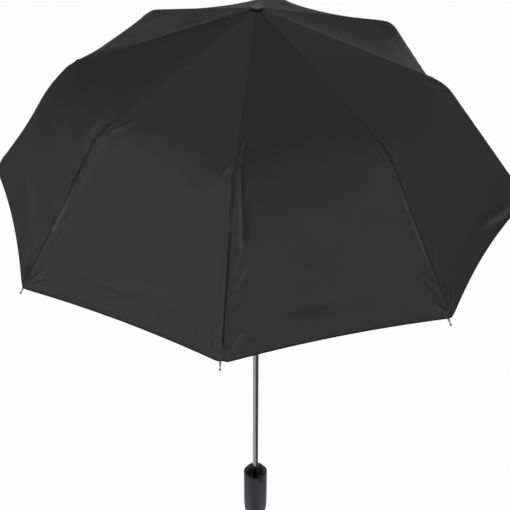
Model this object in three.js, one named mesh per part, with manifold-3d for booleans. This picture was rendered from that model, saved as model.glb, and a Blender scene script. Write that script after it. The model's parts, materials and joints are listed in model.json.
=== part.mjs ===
// Folding umbrella, open: eight ribs that fold in three, a three part telescopic shaft and a cup shaped handle.
// Millimetres, +Z up along the shaft, origin at the centre of the handle's flat end. Rib 0 points to the front, -Y.
import * as THREE from 'three';
import { mergeVertices } from 'three/addons/utils/BufferGeometryUtils.js';
import Module from 'manifold-3d';

const wasm = await Module();
wasm.setup();

// Overall form of the open umbrella
const ribCount = 8;
const firstRibTurn = THREE.MathUtils.degToRad(-5.3);
const hemRadius = 380;
const shoulderRadius = 250;
const handleHeight = 120;
const hemRise = 597;
const shoulderRise = 175;
const crownRise = 267;

// Running clearance between neighbours, and overrun of a cutting body
const clearance = 0.3;
const cutOver = 1;

// Handle and what it holds
const handleWidth = 39.8;
const handleCorners = 4;
const handleCornerShare = 0.05;
const handleWall = 2;
const handleCupDepth = 22;
const handleFloor = 4;
const handleTaperHeight = 46;
const handleEndRadius = 13.5;
const endCapHeight = 8;
const endCapFlatRadius = 9;
const endCapSpigotDepth = 5;
const holderFlangeRadius = 10;
const holderFlangeHeight = 3.6;
const holderShankRadius = 7.7;
const holderWindow = 3;
const handlePinRadius = 1.2;
const handlePinHeight = 62;

// Telescopic shaft
const lowerTubeRadius = 4.5;
const tubeWall = 0.4;
const lowerTubeExposed = 296;
const middleTubeExposed = 283;
const tubeOverlap = 36;

// Rib joints, in the plane of one rib: pivot circle on notch and runner, and lengths between pivots
const pivotCircle = 13;
const stretcherLength = 110;
const linkLength = 64;
const ribUnderCrown = 3.6;
const ribUnderShoulder = 8.2;
const knuckleInset = 1.6;
const ribUnderHem = 4.4;

// Rib sections: plates lie side by side across the rib, one layer each
const ribPlate = 1.6;
const ribHalfHeight = 1.5;
const eyeRadius = 2;
const pivotRadius = 0.8;
const rodRadius = 0.95;
const rodSocketLength = 14;
const tipInset = 2;
const tipLength = 12;
const tipRadius = 1.5;
const tipBulbRadius = 2;
const bulbShoulderShare = 0.7;

// Top notch, its wire, and the crown stack
const notchRadius = 15.5;
const notchBelowPivot = 5.5;
const notchAbovePivot = 0.9;
const notchWireRadius = 0.5;
const notchPinRadius = 1;
const washerRadius = 8;
const washerHeight = 1.4;
const capRadius = 8.7;
const capHeight = 2.6;
const capStemRadius = 4.2;
const capStemLength = 5.5;

// Runner
const runnerSleeveWall = 1.4;
const runnerLength = 42;
const runnerCollarRadius = 15.5;
const runnerCollarHalfHeight = 4.5;
const runnerGripRadius = 10;
const runnerGripHeight = 3.5;

// Spring catches
const springSheet = 0.5;
const springWidth = 3.4;
const springLeg = 26;
const buttonRadius = 1.5;
const buttonProud = 1.2;
const runnerCatchWidth = 2.2;
const runnerCatchHeight = 10;
const runnerCatchProud = 2.6;

// Canopy cloth
const clothThickness = 0.8;
const clothHoleRadius = 5;
const clothCrownRadius = 9.5;
const clothBend = 18;
const clothSag = 8;
const clothScallop = 5;
const hemSagLossShare = 0.6;

// Facets
const roundSides = 24;
const smallSides = 10;
const handleSides = 32;
const rodSides = 8;
const wireSides = 6;
const eyeSegments = 4;
const panelSteps = 6;

// Heights worked out from the sizes above
const rim = handleHeight;
const hemHeight = rim + hemRise;
const shoulderHeight = hemHeight + shoulderRise;
const crownHeight = hemHeight + crownRise;
const cupFloor = rim - handleCupDepth;
const middleTubeRadius = lowerTubeRadius + clearance + tubeWall;
const upperTubeRadius = middleTubeRadius + clearance + tubeWall;
const tubeFoot = endCapHeight + clearance;
const middleTubeFoot = rim + lowerTubeExposed;
const upperTubeFoot = middleTubeFoot + middleTubeExposed;

// Rib pivots in the rib plane: x outward from the shaft, y up
const shoulderPivot = new THREE.Vector2(shoulderRadius - knuckleInset, shoulderHeight - ribUnderShoulder);
const crownSlope = Math.atan2(crownHeight - shoulderHeight, shoulderRadius - clothCrownRadius);
const notchPivot = new THREE.Vector2(
  pivotCircle,
  shoulderHeight + (shoulderRadius - pivotCircle) * Math.tan(crownSlope) - ribUnderCrown,
);
const ribVector = shoulderPivot.clone().sub(notchPivot);
const ribSlope = -Math.atan2(ribVector.y, ribVector.x);
const topRibLength = ribVector.length() - linkLength;
const alongRib = (distance) => notchPivot.clone().addScaledVector(ribVector, distance / ribVector.length());
const stretcherPivot = alongRib(stretcherLength);
const runnerPivot = new THREE.Vector2(pivotCircle, 2 * stretcherPivot.y - notchPivot.y);
const hemPoint = new THREE.Vector2(hemRadius, hemHeight);
const outerSlope = Math.atan2(shoulderHeight - hemHeight, hemRadius - shoulderRadius);
const outerEnd = hemPoint.clone().sub(
  new THREE.Vector2(Math.sin(outerSlope), Math.cos(outerSlope)).multiplyScalar(ribUnderHem),
);
const outerVector = outerEnd.clone().sub(shoulderPivot);
const outerRibLength = outerVector.length() - tipInset;
const washerTop = crownHeight - clothThickness - clearance;

// Layers across a rib: stretcher, top rib, link, outer rib
const layerPitch = ribPlate + clearance;
const ribLayers = 4;
const layerStart = (layer) => (layer - ribLayers / 2) * layerPitch + clearance / 2;
const stretcherLayer = 0;
const topRibLayer = 1;
const linkLayer = 2;
const outerLayer = 3;
const slotWidth = ribLayers * layerPitch + clearance;
const slotBottom = pivotCircle - eyeRadius - clearance;

// Finishes
const chrome = new THREE.MeshStandardMaterial({ color: 0xc8c8ca, roughness: 0.12, metalness: 1 });
const ribSteel = new THREE.MeshStandardMaterial({ color: 0x3a3a3c, roughness: 0.4, metalness: 0.9 });
const brightSteel = new THREE.MeshStandardMaterial({ color: 0xb4b4b6, roughness: 0.3, metalness: 1 });
const blackPlastic = new THREE.MeshStandardMaterial({ color: 0x1c1c1e, roughness: 0.5, metalness: 0 });
const softGrip = new THREE.MeshStandardMaterial({ color: 0x3a393d, roughness: 0.75, metalness: 0 });
const capPlastic = new THREE.MeshStandardMaterial({ color: 0x4c4c4e, roughness: 0.45, metalness: 0 });
const cloth = new THREE.MeshStandardMaterial({ color: 0x323234, roughness: 0.8, metalness: 0 });

// Closed mesh with shared corners, no flat triangles, and faces that point out
function closedMesh(geometry) {
  geometry.deleteAttribute('normal');
  geometry.deleteAttribute('uv');
  const merged = mergeVertices(geometry);
  const place = merged.getAttribute('position');
  const corner = (index) => new THREE.Vector3().fromBufferAttribute(place, index);
  const faces = [];
  let volume = 0;
  for (let i = 0; i < merged.index.count; i += 3) {
    const [a, b, c] = [0, 1, 2].map((step) => merged.index.getX(i + step));
    if (a === b || b === c || c === a) continue;
    faces.push([a, b, c]);
    volume += corner(a).dot(corner(b).cross(corner(c)));
  }
  merged.setIndex(faces.flatMap(([a, b, c]) => (volume < 0 ? [a, c, b] : [a, b, c])));
  return merged;
}

function toSolid(geometry) {
  const mesh = closedMesh(geometry);
  const vertProperties = new Float32Array(mesh.getAttribute('position').array);
  const triVerts = new Uint32Array(mesh.index.array);
  return new wasm.Manifold(new wasm.Mesh({ numProp: 3, vertProperties, triVerts }));
}

function toGeometry(solid) {
  const mesh = solid.getMesh();
  const geometry = new THREE.BufferGeometry();
  geometry.setAttribute('position', new THREE.BufferAttribute(new Float32Array(mesh.vertProperties), 3));
  geometry.setIndex([...mesh.triVerts]);
  return geometry;
}

const join = (...solids) => solids.reduce((whole, next) => whole.add(next));
const cut = (solid, ...tools) => tools.reduce((whole, next) => whole.subtract(next), solid);

// Solid of revolution about +Z from [radius, height] pairs that close on themselves or end on the axis
function turned(profile, sides = roundSides) {
  const points = profile.map(([radius, height]) => new THREE.Vector2(radius, height));
  const geometry = new THREE.LatheGeometry(points, sides);
  geometry.rotateX(Math.PI / 2);
  return geometry;
}

const ring = (inner, outer, low, high, sides = roundSides) =>
  turned([[inner, low], [outer, low], [outer, high], [inner, high], [inner, low]], sides);

const disc = (radius, low, high, sides = roundSides) =>
  turned([[0, low], [radius, low], [radius, high], [0, high]], sides);

// Round bar along +X from one distance to another, at a height
function crossBar(radius, from, to, height, sides = smallSides) {
  const bar = new THREE.CylinderGeometry(radius, radius, to - from, sides);
  bar.rotateZ(-Math.PI / 2);
  bar.translate((from + to) / 2, 0, height);
  return bar;
}

// Block centred on Y, between two X values and two Z values
function block(fromX, toX, width, low, high) {
  const box = new THREE.BoxGeometry(toX - fromX, width, high - low);
  box.translate((fromX + toX) / 2, 0, (low + high) / 2);
  return box;
}

const ribTurn = (index) => firstRibTurn + (index * 2 * Math.PI) / ribCount - Math.PI / 2;
const betweenRibs = ribTurn(0) + Math.PI / ribCount;
const frontTurn = -Math.PI / 2;

const umbrella = new THREE.Group();

function addMesh(name, geometry, material, parent = umbrella) {
  const mesh = new THREE.Mesh(geometry, material);
  mesh.name = name;
  parent.add(mesh);
  return mesh;
}

// Handle radius factor: a rounded square section with its corners to the front, back and sides
const cornerFactor = (angle) => 1 + handleCornerShare * Math.cos(handleCorners * angle);
const handleMeanRadius = handleWidth / 2 / (1 + handleCornerShare);

// Turned shape whose outline swells towards four corners; parts nearer the axis stay round
function cornered(profile) {
  const geometry = turned(profile, handleSides);
  const place = geometry.getAttribute('position');
  for (let i = 0; i < place.count; i += 1) {
    const [x, y] = [place.getX(i), place.getY(i)];
    if (Math.hypot(x, y) > holderFlangeRadius + handleWall / 2) {
      const factor = cornerFactor(Math.atan2(y, x));
      place.setXY(i, x * factor, y * factor);
    }
  }
  return geometry;
}

function handleShell() {
  const outer = handleMeanRadius;
  const inner = outer - handleWall;
  const bore = holderShankRadius + clearance;
  const web = cupFloor - handleFloor;
  const foot = endCapHeight + clearance;
  const belly = (outer * 2 + handleEndRadius) / 3;
  const kneeHeight = (handleTaperHeight + foot * 2) / 3;
  return cornered([
    [handleEndRadius, foot],
    [belly, kneeHeight],
    [outer, handleTaperHeight],
    [outer, rim - handleWall / 2],
    [outer - handleWall / 2, rim],
    [inner, rim],
    [inner, cupFloor],
    [bore, cupFloor],
    [bore, web],
    [inner, web],
    [inner, handleTaperHeight],
    [belly - handleWall, kneeHeight],
    [handleEndRadius - handleWall / 2, foot],
    [handleEndRadius, foot],
  ]);
}

// The cap closes the shell's foot; its spigot ring stands round the holder's shank
function endCap() {
  const spigotOuter = holderShankRadius + clearance + handleWall;
  const body = disc(handleEndRadius, 0, endCapHeight, handleSides);
  const place = body.getAttribute('position');
  for (let i = 0; i < place.count; i += 1) {
    const [x, y, z] = [place.getX(i), place.getY(i), place.getZ(i)];
    const factor = z > 0 ? cornerFactor(Math.atan2(y, x)) : endCapFlatRadius / handleEndRadius;
    place.setXY(i, x * factor, y * factor);
  }
  const spigot = ring(holderShankRadius + clearance, spigotOuter, endCapHeight / 2, endCapHeight + endCapSpigotDepth);
  return toGeometry(join(toSolid(body), toSolid(spigot)));
}

const holderFoot = endCapHeight + clearance;

function tubeHolder() {
  const bore = lowerTubeRadius + clearance;
  const flangeLow = cupFloor + clearance;
  const body = turned([
    [bore, holderFoot],
    [holderShankRadius, holderFoot],
    [holderShankRadius, flangeLow],
    [holderFlangeRadius, flangeLow],
    [holderFlangeRadius, flangeLow + holderFlangeHeight],
    [bore, flangeLow + holderFlangeHeight],
    [bore, holderFoot],
  ]);
  const hole = crossBar(handlePinRadius + clearance, -holderFlangeRadius, holderFlangeRadius, handlePinHeight);
  const flutes = [];
  for (let i = 0; i < ribCount; i += 1) {
    const flute = block(holderFlangeRadius - cutOver, holderFlangeRadius + cutOver, holderWindow,
      flangeLow - cutOver, flangeLow + holderFlangeHeight + cutOver);
    flute.rotateZ(ribTurn(i));
    flutes.push(toSolid(flute));
  }
  return toGeometry(cut(toSolid(body), toSolid(hole), ...flutes));
}

// Tube of the shaft, with round holes drilled square through it: [turn, height, radius, both walls]
function shaftTube(radius, low, high, holes) {
  const tools = holes.map(([turn, height, holeRadius, both]) => {
    const reach = radius + cutOver;
    const drill = crossBar(holeRadius, both ? -reach : 0, reach, height);
    drill.rotateZ(turn);
    return toSolid(drill);
  });
  return cut(toSolid(ring(radius - tubeWall, radius, low, high)), ...tools);
}

// Spring of bent sheet inside a tube, drawn in the plane of its travel: x outward, y up, bend at y 0
function springShape(halfWidth) {
  const shape = new THREE.Shape();
  shape.moveTo(halfWidth, springLeg);
  shape.lineTo(halfWidth - springSheet, springLeg);
  shape.lineTo(halfWidth - springSheet, 0);
  shape.absarc(0, 0, halfWidth - springSheet, 0, -Math.PI, true);
  shape.lineTo(springSheet - halfWidth, springLeg);
  shape.lineTo(-halfWidth, springLeg);
  shape.lineTo(-halfWidth, 0);
  shape.absarc(0, 0, halfWidth, -Math.PI, 0, false);
  return shape;
}

// Plate cut from a flat outline, its faces square to Y, standing with the outline's y axis up
function standingPlate(shape, width) {
  const plate = new THREE.ExtrudeGeometry(shape, { depth: width, bevelEnabled: false, curveSegments: eyeSegments });
  plate.translate(0, 0, -width / 2);
  plate.rotateX(Math.PI / 2);
  return plate;
}

function tubeCatch(tubeRadius, outerRadius, buttonHeight) {
  const halfWidth = tubeRadius - tubeWall - 2 * clearance;
  const spring = standingPlate(springShape(halfWidth), springWidth);
  spring.translate(0, 0, buttonHeight - springLeg + 2 * buttonRadius);
  const button = crossBar(buttonRadius, halfWidth - springSheet / 2, outerRadius + buttonProud, buttonHeight);
  const solid = toGeometry(join(toSolid(spring), toSolid(button)));
  solid.rotateZ(frontTurn);
  return solid;
}

const middleCatchHeight = middleTubeFoot + tubeOverlap / 2;
const upperCatchHeight = upperTubeFoot + tubeOverlap / 2;
const catchHole = buttonRadius + clearance;
const runnerFoot = runnerPivot.y + runnerCollarHalfHeight - runnerLength;
const runnerCatchTop = runnerFoot - clearance;
const notchPinHeight = notchPivot.y - notchBelowPivot / 2;
const tubeTop = washerTop - washerHeight - clearance;

function upperTube() {
  const body = shaftTube(upperTubeRadius, upperTubeFoot, tubeTop, [
    [frontTurn, upperCatchHeight, catchHole, false],
    [betweenRibs, notchPinHeight, notchPinRadius + clearance, true],
  ]);
  const slot = block(0, upperTubeRadius + cutOver, runnerCatchWidth + 2 * clearance,
    runnerCatchTop - runnerCatchHeight - clearance, runnerCatchTop + clearance);
  slot.rotateZ(frontTurn);
  return toGeometry(cut(body, toSolid(slot)));
}

// Leaf spring with a wedge that stands out under the runner's foot and locks the umbrella open
function runnerCatch() {
  const halfWidth = upperTubeRadius - tubeWall - 2 * clearance;
  const spring = standingPlate(springShape(halfWidth), springWidth);
  spring.translate(0, 0, runnerCatchTop - springLeg);
  const wedge = new THREE.Shape();
  wedge.moveTo(halfWidth - springSheet, runnerCatchTop);
  wedge.lineTo(halfWidth - springSheet, runnerCatchTop - runnerCatchHeight);
  wedge.lineTo(halfWidth, runnerCatchTop - runnerCatchHeight);
  wedge.lineTo(upperTubeRadius + runnerCatchProud, runnerCatchTop - springSheet);
  wedge.lineTo(upperTubeRadius + runnerCatchProud, runnerCatchTop);
  const solid = toGeometry(join(toSolid(spring), toSolid(standingPlate(wedge, runnerCatchWidth))));
  solid.rotateZ(frontTurn);
  return solid;
}

// Eight slots, one for each rib, cut in from the rim of a collar
function ribSlots(outerRadius, low, high) {
  const slots = [];
  for (let i = 0; i < ribCount; i += 1) {
    const slot = block(slotBottom, outerRadius + cutOver, slotWidth, low - cutOver, high + cutOver);
    slot.rotateZ(ribTurn(i));
    slots.push(toSolid(slot));
  }
  return slots;
}

function topNotch() {
  const low = notchPivot.y - notchBelowPivot;
  const high = notchPivot.y + notchAbovePivot;
  const hub = ring(upperTubeRadius + clearance, notchRadius, low, high, handleSides);
  const grooveHalf = notchWireRadius + clearance;
  const groove = ring(pivotCircle - grooveHalf, pivotCircle + grooveHalf, notchPivot.y - grooveHalf,
    high + cutOver, handleSides);
  const pinHole = crossBar(notchPinRadius + clearance, -notchRadius, notchRadius, notchPinHeight);
  pinHole.rotateZ(betweenRibs);
  return toGeometry(cut(toSolid(hub), toSolid(groove), toSolid(pinHole), ...ribSlots(notchRadius, low, high)));
}

function notchWire() {
  const wire = new THREE.TorusGeometry(pivotCircle, notchWireRadius, wireSides, handleSides);
  wire.rotateZ(ribTurn(0));
  wire.translate(0, 0, notchPivot.y);
  return wire;
}

function pinAcross(radius, halfLength, height, turn) {
  const pin = crossBar(radius, -halfLength, halfLength, height);
  pin.rotateZ(turn);
  return pin;
}

function topCap() {
  const low = crownHeight + clearance;
  const edge = capHeight / 4;
  return turned([
    [0, low - capStemLength],
    [capStemRadius, low - capStemLength],
    [capStemRadius, low],
    [capRadius, low],
    [capRadius, low + capHeight - edge],
    [capRadius - edge, low + capHeight],
    [0, low + capHeight],
  ]);
}

function runner() {
  const bore = upperTubeRadius + clearance;
  const sleeve = bore + runnerSleeveWall;
  const collarLow = runnerPivot.y - runnerCollarHalfHeight;
  const collarHigh = runnerPivot.y + runnerCollarHalfHeight;
  const body = turned([
    [bore, runnerFoot],
    [runnerGripRadius, runnerFoot],
    [runnerGripRadius, runnerFoot + runnerGripHeight],
    [sleeve, runnerFoot + 2 * runnerGripHeight],
    [sleeve, collarLow - runnerGripHeight],
    [slotBottom, collarLow],
    [runnerCollarRadius, collarLow],
    [runnerCollarRadius, collarHigh],
    [bore, collarHigh],
    [bore, runnerFoot],
  ], handleSides);
  return toGeometry(cut(toSolid(body), ...ribSlots(runnerCollarRadius, collarLow, collarHigh)));
}

// Bar with a round eye at each end, along +X from its first pivot, drawn flat
function barOutline(length, halfHeight, holes) {
  const shape = new THREE.Shape();
  const turn = Math.asin(halfHeight / eyeRadius);
  shape.absarc(0, 0, eyeRadius, turn, 2 * Math.PI - turn, false);
  shape.absarc(length, 0, eyeRadius, turn - Math.PI, Math.PI - turn, false);
  for (const place of holes) {
    const hole = new THREE.Path();
    hole.absarc(place, 0, pivotRadius + clearance, 0, 2 * Math.PI, true);
    shape.holes.push(hole);
  }
  return shape;
}

function bar(length, halfHeight, holes, layer) {
  const outline = barOutline(length, halfHeight, holes);
  const plate = new THREE.ExtrudeGeometry(outline, { depth: ribPlate, bevelEnabled: false, curveSegments: eyeSegments });
  plate.translate(0, 0, layerStart(layer));
  return toSolid(plate);
}

// Rivet standing out of one layer through the next
function rivet(place, fromLayer, toLayer) {
  const [first, last] = [Math.min(fromLayer, toLayer), Math.max(fromLayer, toLayer)];
  const from = fromLayer === first ? layerStart(first) + ribPlate / 2 : layerStart(first);
  const to = toLayer === last ? layerStart(last) + ribPlate : layerStart(last) + ribPlate / 2;
  const pin = new THREE.CylinderGeometry(pivotRadius, pivotRadius, to - from, smallSides);
  pin.rotateX(Math.PI / 2);
  pin.translate(place, 0, (from + to) / 2);
  return toSolid(pin);
}

function topRib() {
  const body = bar(topRibLength, ribHalfHeight, [0], topRibLayer);
  return toGeometry(join(
    body,
    rivet(stretcherLength, topRibLayer, stretcherLayer),
    rivet(topRibLength, topRibLayer, linkLayer),
  ));
}

const stretcher = () => toGeometry(bar(stretcherLength, ribHalfHeight, [0, stretcherLength], stretcherLayer));

const link = () => toGeometry(join(bar(linkLength, ribHalfHeight, [0], linkLayer),
  rivet(linkLength, linkLayer, outerLayer)));

// Knuckle plate at the shoulder and a round rod out to the hem
function outerRib() {
  const knuckle = bar(rodSocketLength, ribHalfHeight, [0], outerLayer);
  const rod = new THREE.CylinderGeometry(rodRadius, rodRadius, outerRibLength - rodSocketLength, rodSides);
  rod.rotateZ(Math.PI / 2);
  rod.translate((outerRibLength + rodSocketLength) / 2, 0, layerStart(outerLayer) + ribPlate / 2);
  return toGeometry(join(knuckle, toSolid(rod)));
}

// Metal tip that carries the hem's corner, past the end of the rod
function ribTip() {
  const from = outerRibLength + clearance;
  const bulbCentre = from + tipLength - tipBulbRadius;
  const halfBulb = tipBulbRadius / 2;
  const profile = [
    [0, from],
    [tipRadius, from],
    [tipRadius, bulbCentre - 2 * tipBulbRadius],
    [tipBulbRadius * bulbShoulderShare, bulbCentre - halfBulb],
    [tipBulbRadius, bulbCentre],
    [tipBulbRadius * bulbShoulderShare, bulbCentre + halfBulb],
    [0, bulbCentre + tipBulbRadius],
  ];
  const points = profile.map(([radius, height]) => new THREE.Vector2(radius, height));
  const tip = new THREE.LatheGeometry(points, rodSides);
  tip.rotateZ(-Math.PI / 2);
  tip.translate(0, 0, layerStart(outerLayer) + ribPlate / 2);
  return tip;
}

// Seam of the canopy over one rib, as points out from the shaft and up, with the way square to it
function seamStations() {
  const hole = new THREE.Vector2(clothHoleRadius, crownHeight);
  const crown = new THREE.Vector2(clothCrownRadius, crownHeight);
  const shoulder = new THREE.Vector2(shoulderRadius, shoulderHeight);
  const before = shoulder.clone().add(crown.clone().sub(shoulder).setLength(clothBend));
  const after = shoulder.clone().add(hemPoint.clone().sub(shoulder).setLength(clothBend));
  const flat = new THREE.LineCurve(hole, crown);
  const upper = new THREE.LineCurve(crown, before);
  const bend = new THREE.QuadraticBezierCurve(before, shoulder, after);
  const lower = new THREE.LineCurve(after, hemPoint);
  const stations = [];
  for (const [curve, steps, zone] of [[flat, 1, 0], [upper, 4, 1], [bend, 3, 2], [lower, 4, 3]]) {
    for (let i = stations.length ? 1 : 0; i <= steps; i += 1) {
      const share = i / steps;
      const point = curve.getPoint(share);
      const way = curve.getTangent(share);
      const sagShares = [0, share, 1, 1 - share * hemSagLossShare];
      const scallopShares = [0, 0, 0, share * share];
      stations.push({ point, way, sag: clothSag * sagShares[zone], scallop: clothScallop * scallopShares[zone] });
    }
  }
  return stations;
}

// Closed thin shell: eight panels stretched between the seams, drawn in at mid panel and scalloped at the hem
function canopy() {
  const stations = seamStations();
  const around = ribCount * panelSteps;
  const places = [];
  for (const inset of [0, clothThickness]) {
    for (const { point, way, sag, scallop } of stations) {
      for (let j = 0; j < around; j += 1) {
        const rib = Math.floor(j / panelSteps);
        const share = (j % panelSteps) / panelSteps;
        const bow = 4 * share * (1 - share);
        const first = new THREE.Vector2(Math.cos(ribTurn(rib)), Math.sin(ribTurn(rib)));
        const next = new THREE.Vector2(Math.cos(ribTurn(rib + 1)), Math.sin(ribTurn(rib + 1)));
        const outward = first.clone().lerp(next, share);
        const drop = sag * bow + inset;
        const radius = point.x + way.y * drop - way.x * scallop * bow;
        const height = point.y - way.x * drop - way.y * scallop * bow;
        places.push(outward.x * radius, outward.y * radius, height);
      }
    }
  }
  const rows = stations.length;
  const corner = (side, row, step) => (side * rows + row) * around + (step % around);
  const faces = [];
  const quad = (a, b, c, d) => faces.push(a, b, c, a, c, d);
  for (let j = 0; j < around; j += 1) {
    for (let row = 0; row < rows - 1; row += 1) {
      quad(corner(0, row, j), corner(0, row + 1, j), corner(0, row + 1, j + 1), corner(0, row, j + 1));
      quad(corner(1, row, j), corner(1, row, j + 1), corner(1, row + 1, j + 1), corner(1, row + 1, j));
    }
    quad(corner(0, 0, j), corner(0, 0, j + 1), corner(1, 0, j + 1), corner(1, 0, j));
    quad(corner(0, rows - 1, j), corner(1, rows - 1, j), corner(1, rows - 1, j + 1), corner(0, rows - 1, j + 1));
  }
  const geometry = new THREE.BufferGeometry();
  geometry.setAttribute('position', new THREE.Float32BufferAttribute(places, 3));
  geometry.setIndex(faces);
  return geometry;
}

addMesh('handle_shell', closedMesh(handleShell()), softGrip);
addMesh('handle_end_cap', endCap(), softGrip);
addMesh('tube_holder', tubeHolder(), blackPlastic);
addMesh('handle_pin', pinAcross(handlePinRadius, holderShankRadius - clearance, handlePinHeight, 0), brightSteel);
addMesh('lower_tube', toGeometry(shaftTube(lowerTubeRadius, tubeFoot, middleTubeFoot + tubeOverlap, [
  [frontTurn, middleCatchHeight, catchHole, false],
  [0, handlePinHeight, handlePinRadius + clearance, true],
])), chrome);
addMesh('middle_tube', toGeometry(shaftTube(middleTubeRadius, middleTubeFoot, upperTubeFoot + tubeOverlap, [
  [frontTurn, middleCatchHeight, catchHole, false],
  [frontTurn, upperCatchHeight, catchHole, false],
])), chrome);
addMesh('upper_tube', upperTube(), chrome);
addMesh('middle_tube_catch', tubeCatch(lowerTubeRadius, middleTubeRadius, middleCatchHeight), brightSteel);
addMesh('upper_tube_catch', tubeCatch(middleTubeRadius, upperTubeRadius, upperCatchHeight), brightSteel);
addMesh('runner_catch', runnerCatch(), brightSteel);
addMesh('runner', runner(), blackPlastic);
addMesh('top_notch', topNotch(), blackPlastic);
addMesh('notch_wire', notchWire(), brightSteel);
addMesh('notch_pin', pinAcross(notchPinRadius, pivotCircle - 2 * notchWireRadius - 2 * clearance, notchPinHeight,
  betweenRibs), brightSteel);
addMesh('crown_washer', closedMesh(ring(capStemRadius + clearance, washerRadius, washerTop - washerHeight,
  washerTop)), blackPlastic);
addMesh('top_cap', closedMesh(topCap()), capPlastic);
addMesh('canopy', canopy(), cloth);

for (let i = 0; i < ribCount; i += 1) {
  const ribPlane = new THREE.Group();
  ribPlane.rotation.set(Math.PI / 2, 0, ribTurn(i), 'ZYX');
  umbrella.add(ribPlane);
  const innerFrame = new THREE.Group();
  innerFrame.position.set(notchPivot.x, notchPivot.y, 0);
  innerFrame.rotation.z = -ribSlope;
  const strutFrame = new THREE.Group();
  strutFrame.position.set(runnerPivot.x, runnerPivot.y, 0);
  strutFrame.rotation.z = ribSlope;
  const outerFrame = new THREE.Group();
  outerFrame.position.set(shoulderPivot.x, shoulderPivot.y, 0);
  outerFrame.rotation.z = outerVector.angle();
  ribPlane.add(innerFrame, strutFrame, outerFrame);
  addMesh(`top_rib_${i}`, topRib(), ribSteel, innerFrame);
  addMesh(`stretcher_${i}`, stretcher(), ribSteel, strutFrame);
  addMesh(`link_${i}`, link(), ribSteel, innerFrame).position.x = topRibLength;
  addMesh(`outer_rib_${i}`, outerRib(), ribSteel, outerFrame);
  addMesh(`rib_tip_${i}`, closedMesh(ribTip()), brightSteel, outerFrame);
}

export default umbrella;
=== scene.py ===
# Folding umbrella: the looks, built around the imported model.
# Metres, +Z up along the shaft, front at -Y. Rib 0 points to the front.
import json
import math

import bmesh
import bpy
import numpy as np
from mathutils import Matrix, Vector


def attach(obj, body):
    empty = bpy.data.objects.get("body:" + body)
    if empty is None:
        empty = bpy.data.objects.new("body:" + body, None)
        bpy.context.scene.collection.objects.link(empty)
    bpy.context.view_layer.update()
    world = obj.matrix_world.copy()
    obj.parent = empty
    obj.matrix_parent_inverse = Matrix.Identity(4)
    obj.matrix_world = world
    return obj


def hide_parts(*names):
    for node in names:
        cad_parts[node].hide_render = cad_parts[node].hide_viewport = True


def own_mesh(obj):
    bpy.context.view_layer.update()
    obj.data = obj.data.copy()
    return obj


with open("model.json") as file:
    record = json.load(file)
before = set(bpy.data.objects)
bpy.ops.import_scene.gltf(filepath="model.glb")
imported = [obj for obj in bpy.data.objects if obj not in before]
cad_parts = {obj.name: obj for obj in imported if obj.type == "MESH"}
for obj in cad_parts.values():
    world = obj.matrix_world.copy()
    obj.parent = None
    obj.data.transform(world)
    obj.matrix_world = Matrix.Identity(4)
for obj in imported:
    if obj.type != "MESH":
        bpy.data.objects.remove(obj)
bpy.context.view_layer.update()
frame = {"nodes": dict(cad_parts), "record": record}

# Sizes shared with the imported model
RIBS = 8
RIB_STEP = 2 * math.pi / RIBS
FIRST_TURN = math.radians(-5.3)
RIM, SHELL_FOOT = 0.120, 0.0083
HEM_RADIUS, HEM_HEIGHT = 0.380, 0.717
SHOULDER_RADIUS, SHOULDER_HEIGHT = 0.250, 0.892
CROWN_HEIGHT = 0.984
CLOTH_HOLE, CLOTH_FLAT, CLOTH_BEND = 0.005, 0.0095, 0.018
CLOTH_SAG, CLOTH_SCALLOP, HEM_SAG_LOSS = 0.0055, 0.005, 0.45
PIVOT_CIRCLE = 0.013
SHOULDER_PIVOT = (0.2484, 0.8838)
OUTER_RIB_LENGTH, OUTER_SLOPE, OUTER_LAYER = 0.210381, 0.923528, 0.00285

# Sides of a turned piece, least upward share of a level face's normal and least rise of an upright edge
SIDES, FINE_SIDES = 48, 64
LEVEL, LEAST_RISE = 0.9, 0.001


# Modelling steps that repeat


def let_go():
    """Back to object mode with nothing selected."""
    if bpy.context.mode != "OBJECT":
        bpy.ops.object.mode_set(mode="OBJECT")
    bpy.ops.object.select_all(action="DESELECT")


def take(piece):
    let_go()
    piece.select_set(True)
    bpy.context.view_layer.objects.active = piece


def pick(piece, kind, wanted):
    """Edit mode, with only the faces, edges or corners that are wanted selected."""
    if bpy.context.mode != "EDIT_MESH":
        take(piece)
        bpy.ops.object.mode_set(mode="EDIT")
    bpy.ops.mesh.select_mode(type=kind)
    bpy.ops.mesh.select_all(action="DESELECT")
    mesh = bmesh.from_edit_mesh(piece.data)
    for item in {"FACE": mesh.faces, "EDGE": mesh.edges, "VERT": mesh.verts}[kind]:
        if wanted(item):
            item.select_set(True)
    mesh.select_flush_mode()
    bmesh.update_edit_mesh(piece.data)


def started(name):
    """The primitive just added, named and with its place put into its mesh."""
    piece = bpy.context.object
    piece.name = name
    bpy.ops.object.transform_apply(location=True, rotation=True, scale=True)
    return piece


def pick_level(piece, way):
    """Edit mode, with only the faces selected that look up, where way is 1, or down, where it is -1."""
    pick(piece, "FACE", lambda face: face.normal.z * way > LEVEL)


def drawn_down(piece, steps):
    """Draws the lower face of a piece down through (height, share of full width), from the first of them."""
    pick_level(piece, -1)
    height, share = steps[0]
    for next_height, next_share in steps[1:]:
        scale = next_share / share
        bpy.ops.mesh.extrude_region_move(TRANSFORM_OT_translate={"value": (0, 0, next_height - height)})
        bpy.ops.transform.resize(value=(scale, scale, 1), center_override=(0, 0, next_height))
        height, share = next_height, next_share


def rounded_edges(piece, width, segments=2, angle=35):
    bevel = piece.modifiers.new("edges", "BEVEL")
    bevel.width, bevel.segments = width, segments
    bevel.limit_method, bevel.angle_limit = "ANGLE", math.radians(angle)
    take(piece)
    bpy.ops.object.modifier_apply(modifier=bevel.name)


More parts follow.
